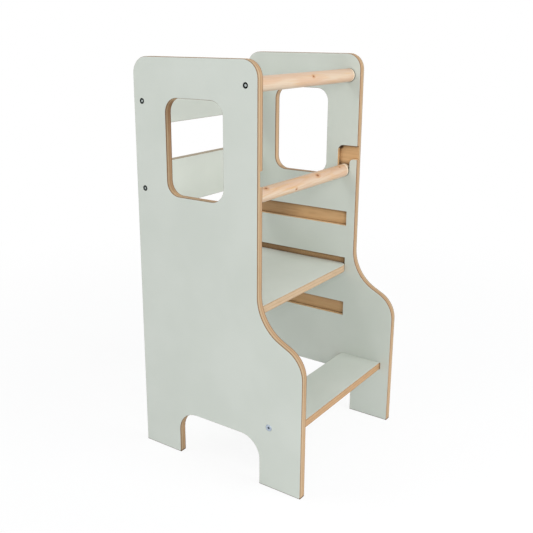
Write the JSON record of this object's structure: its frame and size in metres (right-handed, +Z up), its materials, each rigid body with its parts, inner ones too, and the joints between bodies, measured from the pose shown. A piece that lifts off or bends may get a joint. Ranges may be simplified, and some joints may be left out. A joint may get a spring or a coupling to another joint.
{
  "type": "toddler kitchen helper stool",
  "caption": "Wooden kitchen helper stool for a toddler: laminated side panels, step, height-adjustable sliding platform, back boards, top rail and lift-out safety bar.",
  "frame": {"origin": "on the floor, under the middle of the stool's footprint", "axes": "+Z is up; the step and the open front face -Y; +X is the stool's right side as one looks from the front along +Y"},
  "size_m": [0.424, 0.422, 0.88],
  "materials": {
    "board": "fine-fibred board edge, bare, finely sanded and sealed",
    "laminate": "pale sage grey laminate, satin",
    "pine": "pine, fine grain with small knots, clear satin varnish",
    "pin_wood": "beech dowel, bare",
    "black_steel": "black oxide, semi-gloss",
    "zinc_steel": "zinc-plated, satin"
  },
  "bodies": {
    "frame": {"left_panel_core": "board", "left_outer_laminate": "laminate", "left_inner_laminate": "laminate", "right_panel_core": "board", "right_outer_laminate": "laminate", "right_inner_laminate": "laminate", "upper_back_board_core": "board", "upper_back_board_front_laminate": "laminate", "upper_back_board_rear_laminate": "laminate", "lower_back_board_core": "board", "lower_back_board_front_laminate": "laminate", "lower_back_board_rear_laminate": "laminate", "step_core": "board", "step_top_laminate": "laminate", "step_bottom_laminate": "laminate", "top_rail": "pine", "upper_back_board_bolts": "black_steel", "lower_back_board_bolts": "black_steel", "rail_bolts": "black_steel", "step_bolts": "zinc_steel", "upper_back_board_pins": "pin_wood", "lower_back_board_pins": "pin_wood"},
    "platform": {"platform_core": "board", "platform_top_laminate": "laminate", "platform_bottom_laminate": "laminate"},
    "safety_bar": {"safety_bar": "pine"}
  },
  "joints": [
    {"name": "platform_slide", "type": "slide", "parent": "frame", "child": "platform", "axis": [0, 1, 0], "range_m": [0, 0.281]},
    {"name": "safety_bar_lift", "type": "slide", "parent": "frame", "child": "safety_bar", "axis": [0, 0, 1], "range_m": [0, 0.043]}
  ]
}
